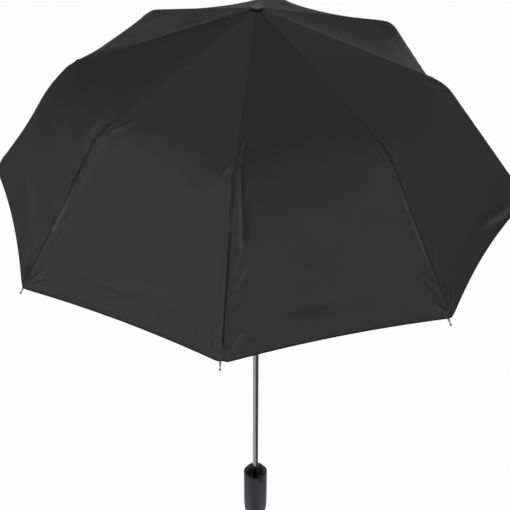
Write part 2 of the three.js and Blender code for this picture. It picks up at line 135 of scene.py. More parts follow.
def smoothed(piece, angle=40):
    take(piece)
    bpy.ops.object.shade_smooth_by_angle(angle=math.radians(angle))
    return piece


def turned(name, outline, sides=SIDES, hollow=False):
    """Ring drawn out along an outline of (radius, height), as on a lathe, then closed."""
    let_go()
    radius, height = outline[0]
    bpy.ops.mesh.primitive_circle_add(vertices=sides, radius=radius, fill_type="NOTHING", location=(0, 0, height))
    piece = started(name)
    bpy.ops.object.mode_set(mode="EDIT")
    bpy.ops.mesh.select_all(action="SELECT")
    for next_radius, next_height in outline[1:]:
        share = next_radius / radius
        bpy.ops.mesh.extrude_edges_move(TRANSFORM_OT_translate={"value": (0, 0, next_height - height)})
        bpy.ops.transform.resize(value=(share, share, 1), center_override=(0, 0, next_height))
        radius, height = next_radius, next_height
    bpy.ops.mesh.select_mode(type="EDGE")
    bpy.ops.mesh.select_all(action="DESELECT")
    bpy.ops.mesh.select_non_manifold()
    if hollow:
        bpy.ops.mesh.bridge_edge_loops()
    else:
        bpy.ops.mesh.fill_holes(sides=0)
    bpy.ops.mesh.select_all(action="SELECT")
    bpy.ops.mesh.normals_make_consistent(inside=False)
    let_go()
    return piece


def refined(node, name, bevel):
    """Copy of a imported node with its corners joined, its flats made whole and its edges rounded."""
    source = frame["nodes"][node]
    piece = bpy.data.objects.new(name, source.data.copy())
    bpy.context.scene.collection.objects.link(piece)
    piece.data.materials.clear()
    take(piece)
    bpy.ops.object.mode_set(mode="EDIT")
    bpy.ops.mesh.select_all(action="SELECT")
    bpy.ops.mesh.remove_doubles(threshold=0.00001)
    bpy.ops.mesh.dissolve_limited(angle_limit=math.radians(2))
    let_go()
    if bevel:
        rounded_edges(piece, bevel)
    return smoothed(piece)


def copied(piece, name, place=None):
    twin = bpy.data.objects.new(name, piece.data.copy())
    bpy.context.scene.collection.objects.link(twin)
    if place is not None:
        twin.data.transform(place)
    return twin


def dressed(piece, finish, body, slot, *nodes):
    """Gives a finished piece its finish, the body it moves with and the nodes it stands for."""
    piece.data.materials.clear()
    piece.data.materials.append(FINISHES[finish])
    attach(piece, body)
    if nodes:
        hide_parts(*nodes)


# Camera, floor and light

CAMERA_PLACE = (0.01374, -1.37170, 1.63084)
CAMERA_PITCH, CAMERA_TURN, CAMERA_ROLL = 0.64954, -0.01129, 0.00264
CAMERA_LENS = 81.66
FLOOR_LEVEL, FLOOR_SIZE = -0.001, 40
FLOOR_PAINT, FLOOR_ROUGHNESS = (0.86, 0.86, 0.86, 1), 0.9
FLOOR_WHITE_SHARE = 0.975
SKY_LEVEL = 0.20
WHITE = (1, 1, 1, 1)
# Soft square lamps: name, place and power
LAMPS = [
    ("front_left_lamp", (-1.5, -2.6, 1.6), 35),
    ("front_right_lamp", (1.4, -2.8, 0.9), 33),
    ("high_lamp", (0.2, -0.4, 3.6), 8),
]
LAMP_AIM, LAMP_SIZE = Vector((0, 0, 0.85)), 1.4
# Dark card beside the tube, with its foot inside the cup
CARD_PLACE, CARD_SIZE = (0.012, -0.278, 0.352), (0.001, 0.5637, 0.497)
CARD_PAINT = (0.39, 0.39, 0.395, 1)


def feed(tree, socket, value):
    """Gives an input a plain value, or links another node's output to it."""
    if isinstance(value, bpy.types.NodeSocket):
        tree.links.new(value, socket)
    else:
        socket.default_value = value


def node(tree, kind, *fed, **values):
    """Adds a shader node. What is fed goes to its inputs in their order; values name its settings or inputs."""
    made = tree.nodes.new(kind)
    for key, value in values.items():
        if hasattr(made, key):
            setattr(made, key, value)
        else:
            feed(tree, made.inputs[key.replace("_", " ")], value)
    for socket, value in zip(made.inputs, fed):
        feed(tree, socket, value)
    return made


def shown(tree, kind, *fed, **values):
    """First output of a shader node that is added."""
    return node(tree, kind, *fed, **values).outputs[0]


def reckoned(tree, operation, *fed):
    return shown(tree, "ShaderNodeMath", operation=operation, *fed)


def new_material(name):
    """A new material, its node tree and its shader."""
    material = bpy.data.materials.new(name)
    material.use_nodes = True
    return material, material.node_tree, material.node_tree.nodes["Principled BSDF"]


def seen_white(tree):
    """1 for what the camera sees directly, mirrored or through glass, else 0."""
    rays = node(tree, "ShaderNodeLightPath").outputs
    seen = reckoned(tree, "MAXIMUM", rays["Is Camera Ray"], rays["Is Glossy Ray"])
    return reckoned(tree, "MAXIMUM", seen, rays["Is Transmission Ray"])


def set_camera():
    let_go()
    bpy.ops.object.camera_add(location=CAMERA_PLACE)
    camera = bpy.context.object
    camera.name = "camera"
    camera.data.lens = CAMERA_LENS
    level = Vector((math.cos(CAMERA_TURN), -math.sin(CAMERA_TURN), 0))
    ahead = Vector((math.sin(CAMERA_TURN), math.cos(CAMERA_TURN), 0)) * math.cos(CAMERA_PITCH)
    ahead.z = -math.sin(CAMERA_PITCH)
    over = level.cross(ahead)
    right = level * math.cos(CAMERA_ROLL) + over * math.sin(CAMERA_ROLL)
    up = over * math.cos(CAMERA_ROLL) - level * math.sin(CAMERA_ROLL)
    turn = Matrix((right, up, -ahead)).transposed().to_4x4()
    camera.matrix_world = Matrix.Translation(CAMERA_PLACE) @ turn
    bpy.context.scene.camera = camera


def set_floor():
    """Floor that looks white, directly or mirrored, and still takes a little of the object's shadow."""
    let_go()
    bpy.ops.mesh.primitive_plane_add(size=FLOOR_SIZE, location=(0, 0, FLOOR_LEVEL))
    floor = started("floor")
    material, tree, _ = new_material("pale_floor")
    tree.nodes.clear()
    paint = shown(tree, "ShaderNodeBsdfPrincipled", Base_Color=FLOOR_PAINT, Roughness=FLOOR_ROUGHNESS)
    glow = shown(tree, "ShaderNodeEmission", Strength=1.0)
    share = reckoned(tree, "MULTIPLY", seen_white(tree), FLOOR_WHITE_SHARE)
    node(tree, "ShaderNodeOutputMaterial", shown(tree, "ShaderNodeMixShader", share, paint, glow))
    floor.data.materials.append(material)


def set_sky():
    world = bpy.data.worlds.new("studio")
    world.use_nodes = True
    tree = world.node_tree
    tree.nodes.clear()
    light = shown(tree, "ShaderNodeBackground", WHITE, SKY_LEVEL)
    white = shown(tree, "ShaderNodeBackground", WHITE, 1.0)
    node(tree, "ShaderNodeOutputWorld", shown(tree, "ShaderNodeMixShader", seen_white(tree), light, white))
    bpy.context.scene.world = world


def set_lamps():
    for name, place, power in LAMPS:
        let_go()
        bpy.ops.object.light_add(type="AREA", location=place)
        lamp = bpy.context.object
        lamp.name = name
        lamp.data.shape, lamp.data.size, lamp.data.energy = "SQUARE", LAMP_SIZE, power
        lamp.rotation_mode = "QUATERNION"
        lamp.rotation_quaternion = (LAMP_AIM - Vector(place)).to_track_quat("-Z", "Y")


def set_dark_card():
    """Upright dark card beside the tube that only mirrors see, so that the bright tube has a dark side."""
    let_go()
    bpy.ops.mesh.primitive_cube_add(size=1, location=CARD_PLACE, scale=CARD_SIZE)
    card = started("dark_card")
    material, tree, shader = new_material("dark_card")
    feed(tree, shader.inputs["Base Color"], CARD_PAINT)
    feed(tree, shader.inputs["Roughness"], 1.0)
    card.data.materials.append(material)
    card.visible_camera = card.visible_diffuse = card.visible_shadow = False
    card.visible_transmission = card.visible_volume_scatter = False


bpy.context.scene.view_settings.view_transform = "Standard"
set_camera()
set_floor()
set_sky()
set_lamps()
set_dark_card()


# Finishes

FLOAT, COLOR, VECTOR = "NodeSocketFloat", "NodeSocketColor", "NodeSocketVector"
NOISE = "ShaderNodeTexNoise"


def group(name, inputs, outputs):
    """Empty shader group: inputs are name to (socket kind, value), outputs name to socket kind."""
    tree = bpy.data.node_groups.new(name, "ShaderNodeTree")
    for label, (kind, value) in inputs.items():
        socket = tree.interface.new_socket(label, in_out="INPUT", socket_type=kind)
        if value is not None:
            socket.default_value = value
    for label, kind in outputs.items():
        tree.interface.new_socket(label, in_out="OUTPUT", socket_type=kind)
    return tree, node(tree, "NodeGroupInput").outputs, node(tree, "NodeGroupOutput").inputs


def tone_group():
    """Slow change of tone over a surface: soft noise makes a colour lighter and darker, and rougher with it."""
    tree, given, result = group(
        "tone_change",
        {"Place": (VECTOR, None), "Color": (COLOR, (0.5, 0.5, 0.5, 1)), "Scale": (FLOAT, 20.0),
         "Amount": (FLOAT, 0.1), "Roughness": (FLOAT, 0.5)},
        {"Color": COLOR, "Roughness": FLOAT},
    )
    noise = shown(tree, NOISE, Detail=4.0, Vector=given["Place"], Scale=given["Scale"])
    centred = reckoned(tree, "MULTIPLY_ADD", noise, 2.0, -1.0)
    factor = reckoned(tree, "ADD", reckoned(tree, "MULTIPLY", centred, given["Amount"]), 1.0)
    tone = shown(tree, "ShaderNodeVectorMath", given["Color"], operation="SCALE", Scale=factor)
    feed(tree, result["Color"], tone)
    feed(tree, result["Roughness"], reckoned(tree, "MULTIPLY", given["Roughness"], factor))
    return tree


def grain_group():
    """Fine grain of moulded or rubbed surfaces: a height from two sizes of noise."""
    tree, given, result = group(
        "fine_grain",
        {"Place": (VECTOR, None), "Coarse": (FLOAT, 900.0), "Fine": (FLOAT, 3500.0), "Share": (FLOAT, 0.5)},
        {"Height": FLOAT},
    )
    coarse = shown(tree, NOISE, Detail=2.0, Vector=given["Place"], Scale=given["Coarse"])
    fine = shown(tree, NOISE, Detail=1.0, Vector=given["Place"], Scale=given["Fine"])
    feed(tree, result["Height"], shown(tree, "ShaderNodeMix", Factor=given["Share"], A=coarse, B=fine))
    return tree


def weave_group():
    """Plain weave: warp and weft threads that pass over each other, from a place in metres on the cloth."""
    tree, given, result = group(
        "plain_weave",
        {"Place": (VECTOR, None), "Threads": (FLOAT, 1600.0), "Slub": (FLOAT, 0.25)},
        {"Height": FLOAT, "Thread": FLOAT},
    )
    parts = node(tree, "ShaderNodeSeparateXYZ", given["Place"]).outputs
    warp, weft = (reckoned(tree, "SINE", reckoned(tree, "MULTIPLY", parts[axis], given["Threads"]))
                  for axis in ("X", "Y"))
    crossing = reckoned(tree, "MULTIPLY", warp, weft)
    along = shown(tree, "ShaderNodeVectorMath", given["Place"], ALONG_THREAD, operation="MULTIPLY")
    slub = shown(tree, NOISE, Scale=420.0, Detail=2.0, Vector=along)
    feed(tree, result["Height"], shown(tree, "ShaderNodeMix", Factor=given["Slub"], A=crossing, B=slub))
    feed(tree, result["Thread"], slub)
    return tree


ALONG_THREAD, ALONG_SHAFT = (1.0, 0.05, 1.0), (1.0, 1.0, 0.03)
TONE_CHANGE = tone_group()
FINE_GRAIN = grain_group()
PLAIN_WEAVE = weave_group()


def grouped(tree, inner, **values):
    """Outputs of a shader group placed in a material."""
    return node(tree, "ShaderNodeGroup", node_tree=inner, **values).outputs


def finish_of(name, color, roughness, metallic=0.0, tone_scale=30.0, tone_amount=0.1, grain=(900.0, 3500.0, 0.5),
              bump=0.2, depth=0.0001, stretch=(1.0, 1.0, 1.0), **fixed):
    """Material of moulded plastic or metal on Object coordinates: changing tone, roughness and a fine grain."""
    material, tree, shader = new_material(name)
    place = node(tree, "ShaderNodeTexCoord").outputs["Object"]
    place = shown(tree, "ShaderNodeMapping", Vector=place, Scale=stretch)
    tone = grouped(tree, TONE_CHANGE, Place=place, Scale=tone_scale, Amount=tone_amount, Roughness=roughness,
                   Color=(*color, 1))
    coarse, fine, share = grain
    grains = grouped(tree, FINE_GRAIN, Place=place, Coarse=coarse, Fine=fine, Share=share)
    relief = shown(tree, "ShaderNodeBump", Strength=bump, Distance=depth, Height=grains["Height"])
    for key, value in {"Metallic": metallic, "Base Color": tone["Color"], "Roughness": tone["Roughness"],
                       "Normal": relief, **fixed}.items():
        feed(tree, shader.inputs[key.replace("_", " ")], value)
    return material


# Cloth colour, and the near-black colour of painted shade in seam grooves, stitches, along the hem and beside seams
CLOTH_COLOR, PAINTED_SHADE_COLOR = (0.0340, 0.0340, 0.0344, 1), (0.006, 0.006, 0.0062, 1)
CLOTH_SHINE = {"Specular IOR Level": 0.035, "Sheen Weight": 0.03, "Sheen Roughness": 0.4}


def canopy_cloth():
    """Black woven cloth on the canopy's own map in metres, with painted shade where its crease mask is high, and
    painted light and shade from its tone attribute.
    """
    material, tree, shader = new_material("canopy_cloth")
    place = shown(tree, "ShaderNodeUVMap", uv_map="cloth")
    # The crease attribute is a mask of painted shade
    crease = node(tree, "ShaderNodeAttribute", attribute_name="crease").outputs["Fac"]
    # The tone attribute scales the colour: painted light and shade per panel and painted highlights on fold crests
    lay = node(tree, "ShaderNodeAttribute", attribute_name="tone").outputs["Fac"]
    tone = grouped(tree, TONE_CHANGE, Place=place, Scale=14.0, Amount=0.1, Roughness=0.68, Color=CLOTH_COLOR)
    threads = grouped(tree, TONE_CHANGE, Place=place, Scale=700.0, Amount=0.12, Roughness=1.0, Color=tone["Color"])
    painted_light_color = shown(tree, "ShaderNodeVectorMath", threads["Color"], operation="SCALE", Scale=lay)
    darker = node(tree, "ShaderNodeMix", data_type="RGBA", Factor=crease, A=painted_light_color, B=PAINTED_SHADE_COLOR)
    weave = grouped(tree, PLAIN_WEAVE, Place=place)["Height"]
    relief = shown(tree, "ShaderNodeBump", Strength=0.22, Distance=0.0001, Height=weave)
    for key, value in {**CLOTH_SHINE, "Base Color": darker.outputs["Result"], "Roughness": tone["Roughness"],
                       "Normal": relief}.items():
        feed(tree, shader.inputs[key], value)
    return material


# Colour, roughness and metallic share of each moulded or metal finish, and what differs from the usual values
MOULDED = {
    "soft_grip": ((0.0265, 0.0250, 0.0340), 0.4, 0, dict(
        tone_amount=0.08, bump=0.35, depth=0.00012, Specular_IOR_Level=0.15, Sheen_Weight=0.01)),
    "black_plastic": ((0.012, 0.012, 0.013), 0.42, 0, dict(tone_amount=0.15, Specular_IOR_Level=0.15)),
    # Painted light: the cup's lining, its ribs and the collar are coloured far lighter than the grip and black
    # plastic, in place of light reaching into the cup
    "cup_plastic_painted_light": ((0.125, 0.122, 0.133), 0.45, 0, dict(Specular_IOR_Level=0.4)),
    "cup_ribs": ((0.26, 0.255, 0.275), 0.45, 0, dict(Specular_IOR_Level=0.4)),
    "cap_plastic": ((0.036, 0.036, 0.037), 0.45, 0, dict(bump=0.15, Specular_IOR_Level=0.3)),
    # Painted shade: the cap's ring is coloured darker than the black plastic, standing in for shade on the cap's side
    "cap_side_painted_shade": ((0.005, 0.005, 0.0055), 0.6, 0, dict(bump=0.1, Specular_IOR_Level=0.05)),
    "chrome_tube": ((0.27, 0.27, 0.273), 0.15, 1.0, dict(
        tone_scale=240.0, tone_amount=0.06, grain=(600.0, 2400.0, 0.6), bump=0.02, depth=0.00005,
        stretch=ALONG_SHAFT)),
    "rib_steel": ((0.13, 0.13, 0.135), 0.38, 0.9, dict(tone_scale=90.0, tone_amount=0.2, bump=0.12)),
    "bright_steel": ((0.15, 0.15, 0.153), 0.28, 1.0, dict(tone_scale=120.0, tone_amount=0.15, bump=0.1)),
}
FINISHES = {"canopy_cloth": canopy_cloth()}
for finish_name, (*values, differing) in MOULDED.items():
    FINISHES[finish_name] = finish_of(finish_name, *values, **differing)


# Handle, shaft and crown

HANDLE_SIDE, HANDLE_CORNER = 0.0361, 0.0134
HANDLE_WALL, CUP_DEPTH = 0.002, 0.022
CUP_FLOOR = RIM - CUP_DEPTH
# Gap under a piece that is seated on the cup's floor or on the cloth
SEAT_GAP = 0.0003
# Height and share of full width down the tapered end, and then down the end cap
TAPER = [(0.046, 1.0), (0.036, 0.985), (0.028, 0.955), (0.0209, 0.904), (0.014, 0.825), (SHELL_FOOT, 0.713)]
END_TAPER = [(0.006, 0.700), (0.003, 0.640), (0.0008, 0.545), (0.0, 0.475)]
END_TOP = 0.008
# Thickness and depth of the insets that press a ring groove into the flat end
END_GROOVE = [(0.0022, 0), (0.0007, -0.0006), (0.0007, 0.0006)]
LINING_THICKNESS, LINING_GAP, LINING_DROP = 0.0003, 0.0001, 0.0008
CUP_RIB_PLACE, CUP_RIB_SIZE = 0.0164, (0.0016, 0.0011, 0.017)
CUP_RIB_ROOT, CUP_RIB_TOP = 0.0172, (0.5, 0.6, 1)
# Radius and height over the cup's floor, up the collar that holds the tube
COLLAR = [(0.0077, 0.0), (0.0100, 0.0), (0.0100, 0.0030), (0.0093, 0.0036), (0.0068, 0.0036), (0.0062, 0.0046),
          (0.0048, 0.0046)]
# Name, radius, foot, top and body
TUBES = [
    ("lower_tube", 0.0045, SHELL_FOOT, 0.452, "handle"),
    ("middle_tube", 0.0052, 0.416, 0.735, "middle_tube"),
    ("upper_tube", 0.0059, 0.699, 0.98119, "upper_tube"),
]
TUBE_WALL, TUBE_LIP, TUBE_FOOT = 0.0004, 0.0003, 0.006
# Radius and height over the cloth, up the cap's ring and up its disc
CAP_RING = [(0.0042, -0.0055), (0.0042, 0.0), (0.0084, 0.0), (0.0084, 0.0007), (0.0078, 0.0011),
            (0.0066, 0.0013), (0.0066, 0.0038), (0.0004, 0.0038)]
CAP_DISC = [(0.0004, 0.0034), (0.0071, 0.0034), (0.0073, 0.0037), (0.0072, 0.0045), (0.0067, 0.0049),
            (0.0030, 0.0048), (0.0004, 0.0047)]


def square_block(name, side, corner, low, high):
    """Upright block, square with rounded corners, that points one corner forward; left in edit mode."""
    let_go()
    bpy.ops.mesh.primitive_cube_add(size=1, location=(0, 0, (high + low) / 2), rotation=(0, 0, math.pi / 4),
                                    scale=(side, side, high - low))
    block = started(name)
    pick(block, "EDGE", lambda edge: abs(edge.verts[0].co.z - edge.verts[1].co.z) > LEAST_RISE)
    bpy.ops.mesh.bevel(offset=corner, segments=9, affect="EDGES")
    return block


def hollowed(block, wall, depth):
    """Presses the upper face of a block down, within a wall."""
    pick_level(block, 1)
    bpy.ops.mesh.inset(thickness=wall)
    bpy.ops.mesh.extrude_region_move(TRANSFORM_OT_translate={"value": (0, 0, -depth)})
    let_go()


def handle_shell():
    """Grip with a tapered end below and a cup in its top."""
    shell = square_block("handle_shell_grip", HANDLE_SIDE, HANDLE_CORNER, TAPER[0][0], RIM)
    drawn_down(shell, TAPER)
    hollowed(shell, HANDLE_WALL, CUP_DEPTH)
    rounded_edges(shell, 0.0006, segments=3, angle=50)
    smoothed(shell, 35)
    dressed(shell, "soft_grip", "handle", "soft_grip", "handle_shell")


def handle_end():
    """Closed foot of the handle, with a shallow ring groove in its flat end."""
    foot, share = END_TAPER[0]
    end = square_block("handle_end_grip", HANDLE_SIDE * share, HANDLE_CORNER * share, foot, END_TOP)
    drawn_down(end, END_TAPER)
    for thickness, depth in END_GROOVE:
        bpy.ops.mesh.inset(thickness=thickness, depth=depth)
    let_go()
    smoothed(end, 35)
    dressed(end, "soft_grip", "handle", "soft_grip", "handle_end_cap")


def cup_lining():
    """Thin smooth lining of the cup in the handle's top, coloured lighter than the soft outside: painted light inside
    the cup.
    """
    low, high = CUP_FLOOR + LINING_GAP, RIM - LINING_DROP
    lining = square_block("handle_cup_lining", HANDLE_SIDE - 2 * HANDLE_WALL - LINING_GAP,
                          HANDLE_CORNER - HANDLE_WALL, low, high)
    hollowed(lining, LINING_THICKNESS, high - low - LINING_THICKNESS)
    smoothed(lining, 35)
    dressed(lining, "cup_plastic_painted_light", "handle", "soft_grip")


def cup_ribs():
    """Slim upright ribs moulded on the cup's inner wall, between the places of the folded rib tips."""
    tall = CUP_RIB_SIZE[2]
    let_go()
    bpy.ops.mesh.primitive_cube_add(size=1, location=(CUP_RIB_PLACE, 0, CUP_FLOOR + tall / 2), scale=CUP_RIB_SIZE)
    rib = started("cup_rib_0")
    pick_level(rib, 1)
    bpy.ops.transform.resize(value=CUP_RIB_TOP, center_override=(CUP_RIB_ROOT, 0, CUP_FLOOR + tall))
    let_go()
    rounded_edges(rib, 0.0002)
    smoothed(rib)
    for i in range(RIBS):
        each = copied(rib, f"cup_inner_rib_{i}", Matrix.Rotation(FIRST_TURN + (i + 0.5) * RIB_STEP, 4, "Z"))
        # Painted light: the ribs are coloured far lighter than the grip they are moulded in
        dressed(each, "cup_ribs", "handle", "soft_grip")
    bpy.data.objects.remove(rib)


def tube_holder():
    """Collar at the bottom of the cup, with a raised neck round the tube."""
    floor = CUP_FLOOR + SEAT_GAP
    outline = [(0.0048, SHELL_FOOT), (0.0077, SHELL_FOOT), *((radius, floor + rise) for radius, rise in COLLAR)]
    holder = turned("tube_holder_collar", outline, FINE_SIDES, hollow=True)
    rounded_edges(holder, 0.0002)
    smoothed(holder)
    # Painted light: the collar is black plastic but gets the ribs' much lighter colour
    dressed(holder, "cup_ribs", "handle", "black_plastic", "tube_holder")


def tubes():
    """Three tubes that slide in one another, each with its ends rolled in to a smooth lip."""
    for name, radius, low, high, body in TUBES:
        inner, lip = radius - TUBE_WALL, radius - TUBE_LIP / 2
        tube = turned(name + "_plated", [
            (inner, low), (lip, low), (radius, low + TUBE_LIP), (radius, low + TUBE_FOOT),
            (radius, (low + high) / 2), (radius, high - TUBE_LIP), (lip, high), (inner, high),
        ], hollow=True)
        smoothed(tube)
        dressed(tube, "chrome_tube", body, "chrome_tube", name)


def crown_cap():
    """Cap on the crown: a ring that stands on the cloth, coloured darker than the black plastic as painted shade on
    the cap's side, and a lighter flat disc set into its top.
    """
    low = CROWN_HEIGHT + SEAT_GAP
    for name, outline, finish, slot in (("crown_cap_ring", CAP_RING, "cap_side_painted_shade", "black_plastic"),
                                        ("crown_cap_disc", CAP_DISC, "cap_plastic", "cap_plastic")):
        part = turned(name, [(radius, low + rise) for radius, rise in outline], FINE_SIDES)
        smoothed(part)
        dressed(part, finish, "upper_tube", slot, "top_cap")


def spring_catches():
    """The springs bent back on themselves in the tubes, each cut at its bend: the front leg, with its button, moves
    with the catch, and the back leg stays with the tube that holds it, as if the spring bent."""
    for catch, holder in (("middle_tube_catch", "handle"), ("upper_tube_catch", "middle_tube"),
                          ("runner_catch", "upper_tube")):
        whole = refined(catch, catch + "_pattern", 0)
        for leg, body in (("front", catch), ("back", holder)):
            piece = copied(whole, f"{catch}_{leg}_leg")
            pick(piece, "FACE", lambda face: True)
            bpy.ops.mesh.bisect(plane_co=(0, 0, 0), plane_no=(0, 1, 0), use_fill=True,
                                clear_outer=leg == "front", clear_inner=leg == "back")
            let_go()
            smoothed(piece)
            dressed(piece, "bright_steel", body, "bright_steel", catch)
        bpy.data.objects.remove(whole)


handle_shell()
handle_end()
cup_lining()
cup_ribs()
tube_holder()
tubes()
crown_cap()
spring_catches()

for cad_name, edge, body_name in (("runner", 0.0003, "runner"), ("top_notch", 0.0002, "upper_tube"),
                                  ("crown_washer", 0.0003, "upper_tube")):
    dressed(refined(cad_name, cad_name + "_moulded", edge), "black_plastic", body_name, "black_plastic", cad_name)


# Ribs

RIB_PARTS = ("top_rib", "stretcher", "link", "outer_rib")
# Radius and way out from the rod's end, along the tip's sleeve, prong and bulb
TIP = [(0.00110, 0.0000), (0.00140, 0.0002), (0.00140, 0.0038), (0.00115, 0.0045), (0.00075, 0.0049),
       (0.00070, 0.0071), (0.00105, 0.0076), (0.00145, 0.0083), (0.00160, 0.0090), (0.00150, 0.0097),
       (0.00110, 0.0103), (0.00050, 0.0106), (0.00010, 0.01062)]
TIP_SIDES, TIP_GAP = 20, 0.0003
FLAT_AREA = 0.00012


def rib_turn(index):
    return FIRST_TURN + index * RIB_STEP - math.pi / 2


def rib_plane(index):
    """Turns a rib's own plane, x outward and y up, to its place round the shaft."""
    outward = Vector((math.cos(rib_turn(index)), math.sin(rib_turn(index)), 0))
    up = Vector((0, 0, 1))
    return Matrix((outward, up, outward.cross(up))).transposed().to_4x4()


def grooved(piece):
    """Presses a long shallow channel into both flat sides of a flat bar."""
    pick(piece, "FACE", lambda face: face.calc_area() > FLAT_AREA)
    bpy.ops.mesh.inset(thickness=0.0008, use_individual=True, use_even_offset=False)
    bpy.ops.mesh.inset(thickness=0.0001, depth=-0.0003, use_individual=True, use_even_offset=False)
    let_go()


def make_ribs():
    """Each kind of rib part is refined once and copied round the shaft, and so is the tip."""
    first = {part: refined(f"{part}_0", f"{part}_pattern", 0) for part in RIB_PARTS}
    for part, piece in first.items():
        if part != "outer_rib":
            grooved(piece)
        rounded_edges(piece, 0.00018, segments=1, angle=50)
        smoothed(piece, 45)
    tip = smoothed(turned("rib_tip_pattern", TIP, TIP_SIDES), 60)
    to_rod = Matrix.Translation((*SHOULDER_PIVOT, 0)) @ Matrix.Rotation(-OUTER_SLOPE, 4, "Z")
    along = Matrix.Translation((OUTER_RIB_LENGTH + TIP_GAP, 0, OUTER_LAYER)) @ Matrix.Rotation(math.pi / 2, 4, "Y")
    for i in range(RIBS):
        turn = Matrix.Rotation(i * RIB_STEP, 4, "Z")
        for part, piece in first.items():
            each = copied(piece, f"{part}_{i}_steel", turn)
            dressed(each, "rib_steel", f"{part}_{i}", "rib_steel", f"{part}_{i}")
        each = copied(tip, f"rib_tip_{i}_nickel", rib_plane(i) @ to_rod @ along)
        dressed(each, "bright_steel", f"outer_rib_{i}", "bright_steel", f"rib_tip_{i}")
    for piece in (*first.values(), tip):
        bpy.data.objects.remove(piece)


make_ribs()


# Canopy

CLOTH_THICKNESS, HEM_THICKNESS, HEM_BAND = 0.0005, 0.0011, 0.008
# Between ribs the shoulder is rounded over a longer way, and the hem's corners are drawn back a little
WIDE_BEND, WIDE_REACH = 0.055, 0.060
CORNER_PULLS = (0.0026, 0.0006, 0.0012, 0.0012, 0.0012, 0.0012, 0.0012, 0.0006)
CORNER_REACH, CORNER_RISE = 0.0045, 0.015
# Share of the usual slack and of the usual hem curve in each panel, from the front right one round to the left
PANEL_SLACK = (1.0, 1.0, 1.6, 1.0, 1.0, 0.15, 1.0, 1.0)
PANEL_HEM_CURVE = (1.0, 2.0, 1.2, 1.0, 1.0, 1.2, 1.7, 1.0)
# Painted light and shade: each panel's colour is scaled lighter or darker, standing in for how light and the weave's
# sheen fall on it
PANEL_PAINTED_LIGHT = np.array((1.01, 1.23, 1.14, 0.46, 0.54, 0.53, 1.01, 1.27))
# Painted light and shade along a panel: how much the crown's end of a panel is painted lighter than its hem
PANEL_PAINTED_GRADES = np.array((-0.04, 0.36, 0.70, 0.0, 0.0, 0.0, -0.22, 0.0))
# Millimetres from the rib at the hem, as shares of a panel's hem: close columns where seams and puckers are
COLUMNS = np.array([0, 0.6, 1.2, 1.9, 2.7, 3.6, 4.7, 6, 7.5, 9.2, 11, 13.2, 15.6, 18.4, 21.6, 25.4, 30, 35.6, 42, 49,
                    57, 66, 75, 85, 95, 105, 115, 125, 135, 145.4]) / 290.8
HALF = len(COLUMNS)
# Ways out at which a row lies because pieces meet there, distance between rows above the shoulder, number of rows
# on its bend, and number of rows below it and distances from the hem of the close ones there
ROW_CUTS, ROW_STEP, BEND_ROWS = (0.0145, 0.060, 0.121, 0.189), 0.003, 12
LOWER_STEPS, FINE_BAND = 96, 0.0100
# Ways past the shoulder at which the lower pieces meet
LOWER_CUTS = (0.33 * 0.218, 0.67 * 0.218)
FINE_ROWS = np.array([0.0086, 0.0076, 0.0070, 0.0064, 0.0054, 0.0040, 0.0026, 0.0014, 0.0006, 0.0])
# Crown, shoulder and hem of the seam over a rib, as way out and height
CORNERS = np.array(((CLOTH_FLAT, CROWN_HEIGHT), (SHOULDER_RADIUS, SHOULDER_HEIGHT), (HEM_RADIUS, HEM_HEIGHT)))


def lerp(a, b, share):
    return a + (b - a) * share


def unit(ways):
    """Each way of a list or grid at a length of 1."""
    return ways / np.maximum(np.linalg.norm(ways, axis=-1, keepdims=True), 1e-12)


def bent(start, corner, end, share):
    """Place on a curve that rounds a corner."""
    return start * (1 - share) ** 2 + corner * 2 * share * (1 - share) + end * share**2


def eased(share):
    share = np.clip(share, 0, 1)
    return share * share * (3 - 2 * share)


def bell(distance, width):
    """1 at no distance, falling away to nothing over a few widths."""
    return np.exp(-((distance / width) ** 2))


def seam_rows():
    """Rows of the seam over a rib: place out and up, way along it, zone of the cloth and share of the zone."""
    crown, shoulder, hem = CORNERS
    before = shoulder + unit(crown - shoulder) * CLOTH_BEND
    after = shoulder + unit(hem - shoulder) * CLOTH_BEND
    rows = []

    def straight(start, end, steps, zone):
        for share in steps:
            rows.append((*lerp(start, end, share), *unit(end - start), zone, share))

    straight(np.array((CLOTH_HOLE, CROWN_HEIGHT)), crown, [0, 0.5], 0)
    reach = before[0] - crown[0]
    cuts = [CLOTH_FLAT, *ROW_CUTS, before[0]]
    steps = []
    for low, high in zip(cuts, cuts[1:]):
        count = max(2, round((high - low) / ROW_STEP))
        steps += [(low + (high - low) * i / count - crown[0]) / reach for i in range(count)]
    straight(crown, before, steps, 1)
    for share in np.linspace(0, 1, BEND_ROWS + 1)[:-1]:
        way = (shoulder - before) * (1 - share) + (after - shoulder) * share
        rows.append((*bent(before, shoulder, after, share), *unit(way), 2, share))
    length = np.linalg.norm(hem - after)
    main = np.linspace(0, length - FINE_BAND, LOWER_STEPS)
    straight(after, hem, [*(main / length), *(1 - FINE_ROWS / length)], 3)
    return np.array(rows)


